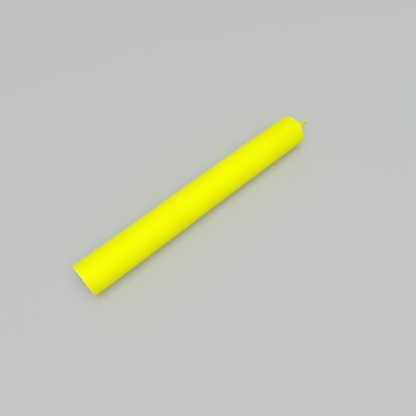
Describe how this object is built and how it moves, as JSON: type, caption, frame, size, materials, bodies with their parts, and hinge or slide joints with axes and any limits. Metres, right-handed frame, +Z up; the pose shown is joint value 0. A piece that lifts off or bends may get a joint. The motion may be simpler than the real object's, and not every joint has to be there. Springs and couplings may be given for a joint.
{
  "type": "stick candle",
  "caption": "Straight neon-yellow stick candle with a square-cut base, a low cone head and a short braided wick, lying on its side.",
  "frame": {"origin": "on the surface that the candle lies on, under the middle of its overall length", "axes": "+X along the candle from its cut base to its wick, +Y across it, +Z up from the surface that it lies on"},
  "size_m": [0.1842, 0.0214, 0.0215],
  "materials": {
    "neon_wax": "satin fluorescent yellow paraffin wax",
    "core_wax": "undyed paraffin wax, faintly translucent",
    "primer_wax": "hard wick-priming wax",
    "wick_cotton": "braided cotton soaked with wax"
  },
  "bodies": {
    "root": {"wax_core": "core_wax", "neon_skin": "neon_wax", "wick_primer": "primer_wax", "wick_strand_1": "wick_cotton", "wick_strand_2": "wick_cotton", "wick_strand_3": "wick_cotton"}
  },
  "joints": []
}
